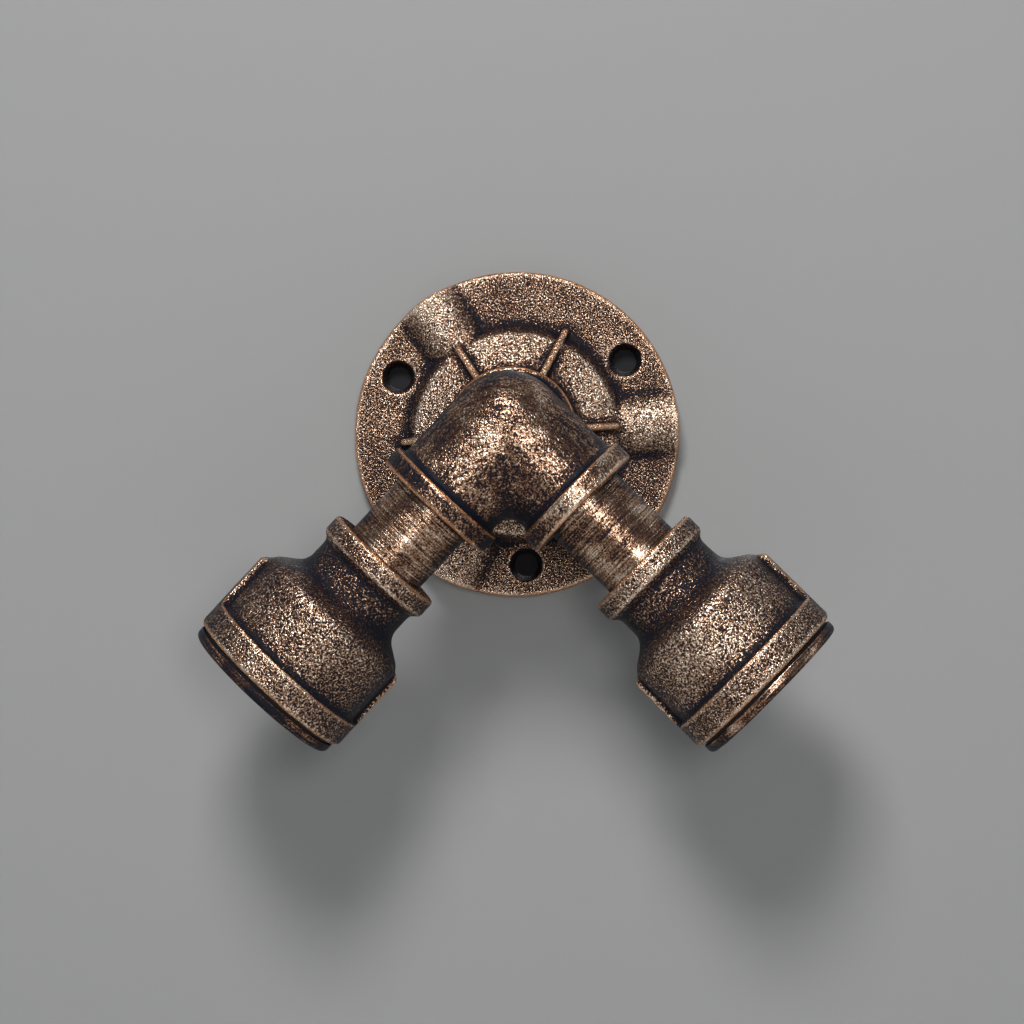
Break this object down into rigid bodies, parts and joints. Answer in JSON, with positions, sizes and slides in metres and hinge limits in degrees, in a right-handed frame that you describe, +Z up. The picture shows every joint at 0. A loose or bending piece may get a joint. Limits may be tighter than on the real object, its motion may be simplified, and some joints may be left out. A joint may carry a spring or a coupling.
{
  "type": "pipe wall light",
  "caption": "Wall light of pipe fittings: ribbed round flange, side-outlet elbow and bell-shaped heads on short nipples, with screw lampholders inside.",
  "frame": {"origin": "middle of the flange's back face, on the wall", "axes": "+Z up, +Y into the wall, +X to the right seen from the front; the light stands out along -Y"},
  "size_m": [0.1516, 0.0706, 0.1189],
  "materials": {
    "rubbed_bronze_casting": "hand-rubbed antique bronze over black on sandy castings",
    "rubbed_bronze_pipe": "brushed antique bronze on steel pipe",
    "rubbed_bronze_ring": "brushed antique bronze on a turned ring",
    "plain_brass": "turned brass",
    "shell_brass": "rolled brass sheet",
    "contact_brass": "spring brass",
    "black_phenolic": "moulded phenolic",
    "porcelain": "glazed porcelain",
    "fibre": "vulcanised fibre",
    "screw_steel": "zinc plated",
    "tinned_copper": "tinned copper",
    "brown_lead": "silicone insulation",
    "blue_lead": "silicone insulation"
  },
  "bodies": {
    "wall_mount": {"wall_flange": "rubbed_bronze_casting", "wall_nipple": "rubbed_bronze_pipe"},
    "arms": {"elbow": "rubbed_bronze_casting", "lead_ferrules": "tinned_copper", "left_nipple": "rubbed_bronze_pipe", "left_reducer": "rubbed_bronze_casting", "left_entry_bush": "plain_brass", "left_stem": "plain_brass", "left_holder_cap": "black_phenolic", "left_insert": "porcelain", "left_holder_skirt": "black_phenolic", "left_screw_shell": "shell_brass", "left_washer": "fibre", "left_contact_base": "contact_brass", "left_posts": "plain_brass", "left_post_screws": "screw_steel", "left_shell_link": "plain_brass", "left_live_lead": "brown_lead", "left_neutral_lead": "blue_lead", "right_nipple": "rubbed_bronze_pipe", "right_reducer": "rubbed_bronze_casting", "right_entry_bush": "plain_brass", "right_stem": "plain_brass", "right_holder_cap": "black_phenolic", "right_insert": "porcelain", "right_holder_skirt": "black_phenolic", "right_screw_shell": "shell_brass", "right_washer": "fibre", "right_contact_base": "contact_brass", "right_posts": "plain_brass", "right_post_screws": "screw_steel", "right_shell_link": "plain_brass", "right_live_lead": "brown_lead", "right_neutral_lead": "blue_lead"},
    "left_ring": {"left_mouth_ring": "rubbed_bronze_ring"},
    "left_contact": {"left_contact_tongue": "contact_brass"},
    "right_ring": {"right_mouth_ring": "rubbed_bronze_ring"},
    "right_contact": {"right_contact_tongue": "contact_brass"}
  },
  "joints": [
    {"name": "arm_swivel", "type": "hinge", "parent": "wall_mount", "child": "arms", "pos_m": [0, -0.0226, 0], "axis": [0, 1, 0], "range_deg": [-45, 45]},
    {"name": "left_ring_turn", "type": "hinge", "parent": "arms", "child": "left_ring", "pos_m": [-0.0587, -0.0485, -0.06015], "axis": [-0.6984, 0, -0.7157], "range_deg": [0, 90]},
    {"name": "left_contact_press", "type": "hinge", "parent": "arms", "child": "left_contact", "pos_m": [-0.04608, -0.0561, -0.04722], "axis": [0.7157, 0, -0.6984], "range_deg": [0, 11], "stiffness_Nm_per_rad": 0.2},
    {"name": "right_ring_turn", "type": "hinge", "parent": "arms", "child": "right_ring", "pos_m": [0.06045, -0.0485, -0.06194], "axis": [0.6984, 0, -0.7157], "range_deg": [0, 90]},
    {"name": "right_contact_press", "type": "hinge", "parent": "arms", "child": "right_contact", "pos_m": [0.04783, -0.0561, -0.04901], "axis": [0.7157, 0, 0.6984], "range_deg": [0, 11], "stiffness_Nm_per_rad": 0.2}
  ]
}
